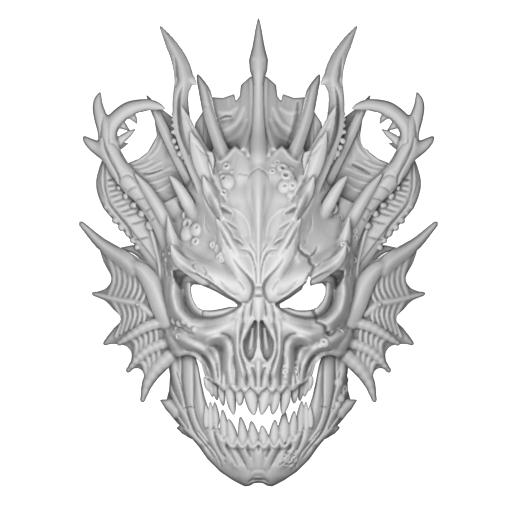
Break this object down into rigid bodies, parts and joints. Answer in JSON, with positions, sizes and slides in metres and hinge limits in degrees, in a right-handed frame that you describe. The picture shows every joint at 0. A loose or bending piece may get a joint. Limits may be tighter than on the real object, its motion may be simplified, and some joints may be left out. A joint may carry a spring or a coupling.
{
  "type": "creature skull mask",
  "caption": "Face mask cast in one piece as a sea creature's horned skull, with a webbed crown, looped horns, finned cheeks and an open toothed jaw.",
  "frame": {"origin": "middle of the bounding box at the height of the rear rim, on which the mask lies", "axes": "+Z out of the face, +Y towards the crown, +X to the viewer's right"},
  "size_m": [0.2876, 0.3746, 0.1083],
  "materials": {
    "cast_resin": "bare matte casting"
  },
  "bodies": {
    "root": {"skull_mask": "cast_resin"}
  },
  "joints": []
}
